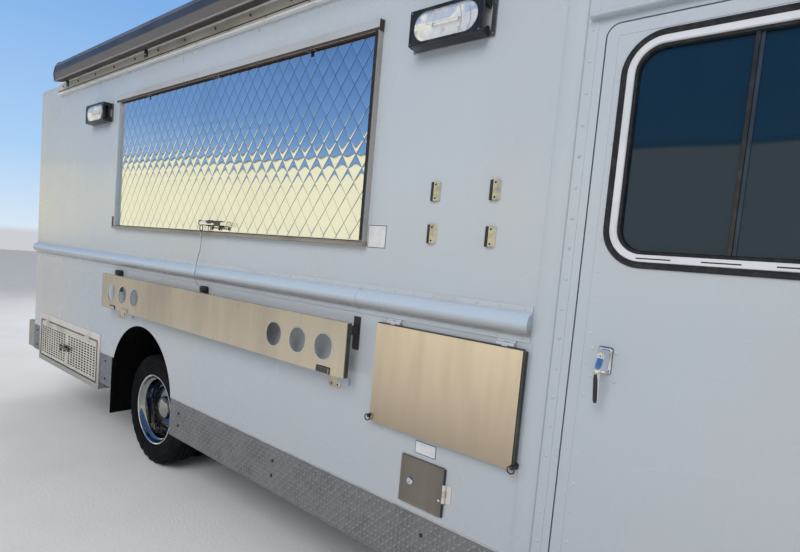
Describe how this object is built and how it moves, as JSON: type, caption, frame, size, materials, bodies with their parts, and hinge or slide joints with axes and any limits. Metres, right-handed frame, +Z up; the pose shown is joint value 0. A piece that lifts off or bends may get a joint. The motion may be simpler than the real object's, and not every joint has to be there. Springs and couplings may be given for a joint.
{
  "type": "step van food truck",
  "caption": "White step van food truck with a lifting serving hatch, folding steel shelves, rolled awning, dual rear wheels and steered front wheels.",
  "frame": {"origin": "on the ground midway between the bumpers and the two side walls", "axes": "+X forward, +Y to the vehicle's left, +Z up"},
  "size_m": [7.97, 2.9, 3.2799],
  "materials": {
    "white_paint": "gloss white paint on aluminium sheet",
    "stainless": "brushed",
    "mirror_steel": "polished, diamond quilted",
    "tread_plate": "diamond tread, dull",
    "black_steel": "satin black paint",
    "chrome": "bright",
    "tyre": "matte",
    "tinted_glass": "dark tint",
    "lamp_plastic": "gloss black housings",
    "engine_iron": "cast",
    "cab_plastic": "grained",
    "seat_vinyl": "vinyl",
    "aluminium": "satin",
    "exhaust_steel": "dull, rusty",
    "awning_shell": "dark navy and beige",
    "cream_rail": "weathered cream",
    "cord": "thin cord"
  },
  "bodies": {
    "root": {"awning": "awning_shell", "awning_rail": "cream_rail", "axles": "black_steel", "bulkhead": "white_paint", "bumper_front": "chrome", "bumper_rear": "tread_plate", "cab_side_left": "white_paint", "cab_side_right": "white_paint", "chassis_frame": "black_steel", "compartment": "stainless", "dashboard": "cab_plastic", "driver_seat": "seat_vinyl", "driveshaft": "black_steel", "engine": "engine_iron", "exhaust": "exhaust_steel", "fittings": "stainless", "floor": "black_steel", "front_panel": "white_paint", "fuel_tank": "aluminium", "grille": "chrome", "hatch_frame": "stainless", "hinges": "black_steel", "lanyard": "cord", "mirrors": "lamp_plastic", "road_lamps": "lamp_plastic", "roof": "white_paint", "roof_vents": "aluminium", "rub_rails": "white_paint", "scene_lamps": "lamp_plastic", "shelf_brackets": "black_steel", "skirts": "tread_plate", "springs": "black_steel", "wall_left": "white_paint", "wall_rear": "white_paint", "wall_right": "white_paint", "wheel_boxes": "black_steel", "windshield": "tinted_glass"},
    "door_right": {"door_right": "white_paint", "door_glass_right": "tinted_glass"},
    "door_left": {"door_left": "white_paint", "door_glass_left": "tinted_glass"},
    "rear_door": {"rear_door": "white_paint"},
    "hatch": {"hatch": "mirror_steel"},
    "serving_shelf": {"serving_shelf": "stainless"},
    "side_shelf": {"side_shelf": "stainless"},
    "fuel_door": {"fuel_door": "stainless"},
    "compartment_door": {"compartment_door": "stainless"},
    "hood": {"hood": "white_paint"},
    "steering_wheel": {"steering_wheel": "cab_plastic"},
    "knuckle_right": {"knuckle_right": "black_steel"},
    "knuckle_left": {"knuckle_left": "black_steel"},
    "tie_rod": {"tie_rod": "black_steel"},
    "wheel_front_right": {"wheel_front_right": "chrome", "tyre_front_right": "tyre"},
    "wheel_front_left": {"wheel_front_left": "chrome", "tyre_front_left": "tyre"},
    "wheels_rear_right": {"wheels_rear_right": "chrome", "tyres_rear_right": "tyre"},
    "wheels_rear_left": {"wheels_rear_left": "chrome", "tyres_rear_left": "tyre"}
  },
  "joints": [
    {"name": "door_right_swing", "type": "hinge", "parent": "root", "child": "door_right", "pos_m": [2.4705, -1.208, 0], "axis": [0, 0, 1], "range_deg": [0, 80]},
    {"name": "door_left_swing", "type": "hinge", "parent": "root", "child": "door_left", "pos_m": [2.4705, 1.208, 0], "axis": [0, 0, -1], "range_deg": [0, 80]},
    {"name": "rear_door_swing", "type": "hinge", "parent": "root", "child": "rear_door", "pos_m": [-3.758, 0.4125, 0], "axis": [0, 0, -1], "range_deg": [0, 105]},
    {"name": "hatch_lift", "type": "hinge", "parent": "root", "child": "hatch", "pos_m": [0, -1.212, 2.63], "axis": [-1, 0, 0], "range_deg": [0, 88]},
    {"name": "serving_shelf_lift", "type": "hinge", "parent": "root", "child": "serving_shelf", "pos_m": [0, -1.256, 1.34], "axis": [-1, 0, 0], "range_deg": [0, 90]},
    {"name": "side_shelf_lift", "type": "hinge", "parent": "root", "child": "side_shelf", "pos_m": [0, -1.212, 1.386], "axis": [-1, 0, 0], "range_deg": [0, 90]},
    {"name": "fuel_door_swing", "type": "hinge", "parent": "root", "child": "fuel_door", "pos_m": [1.197, -1.208, 0], "axis": [0, 0, 1], "range_deg": [0, 100]},
    {"name": "compartment_door_lift", "type": "hinge", "parent": "root", "child": "compartment_door", "pos_m": [0, -1.214, 0.7945], "axis": [-1, 0, 0], "range_deg": [0, 85]},
    {"name": "hood_lift", "type": "hinge", "parent": "root", "child": "hood", "pos_m": [3.44917, 0, 1.52165], "axis": [0, -1, 0], "range_deg": [0, 55]},
    {"name": "steer_left", "type": "hinge", "parent": "root", "child": "knuckle_left", "pos_m": [3.06, 0.83, 0.402], "axis": [0, 0, 1], "range_deg": [-35, 35]},
    {"name": "steer_right", "type": "hinge", "parent": "root", "child": "knuckle_right", "pos_m": [3.06, -0.83, 0.402], "axis": [0, 0, 1], "range_deg": [-35, 35]},
    {"name": "tie_rod_swing", "type": "hinge", "parent": "knuckle_left", "child": "tie_rod", "pos_m": [2.92, 0.83, 0.29], "axis": [0, 0, 1], "range_deg": [-35, 35]},
    {"name": "steering_wheel_turn", "type": "hinge", "parent": "root", "child": "steering_wheel", "pos_m": [2.56, 0.52, 1.33], "axis": [-0.5736, 0, 0.8192], "range_deg": [-490, 490]},
    {"name": "wheel_front_left_spin", "type": "hinge", "parent": "knuckle_left", "child": "wheel_front_left", "pos_m": [3.06, 0.94, 0.402], "axis": [0, 1, 0], "continuous": true},
    {"name": "wheel_front_right_spin", "type": "hinge", "parent": "knuckle_right", "child": "wheel_front_right", "pos_m": [3.06, -0.94, 0.402], "axis": [0, 1, 0], "continuous": true},
    {"name": "wheels_rear_left_spin", "type": "hinge", "parent": "root", "child": "wheels_rear_left", "pos_m": [-1.46, 0.855, 0.402], "axis": [0, 1, 0], "continuous": true},
    {"name": "wheels_rear_right_spin", "type": "hinge", "parent": "root", "child": "wheels_rear_right", "pos_m": [-1.46, -0.855, 0.402], "axis": [0, 1, 0], "continuous": true}
  ],
  "couplings": [
    {"joint": "steer_right", "follows": "steer_left", "ratio": 1},
    {"joint": "tie_rod_swing", "follows": "steer_left", "ratio": -1},
    {"joint": "steering_wheel_turn", "follows": "steer_left", "ratio": 14}
  ]
}
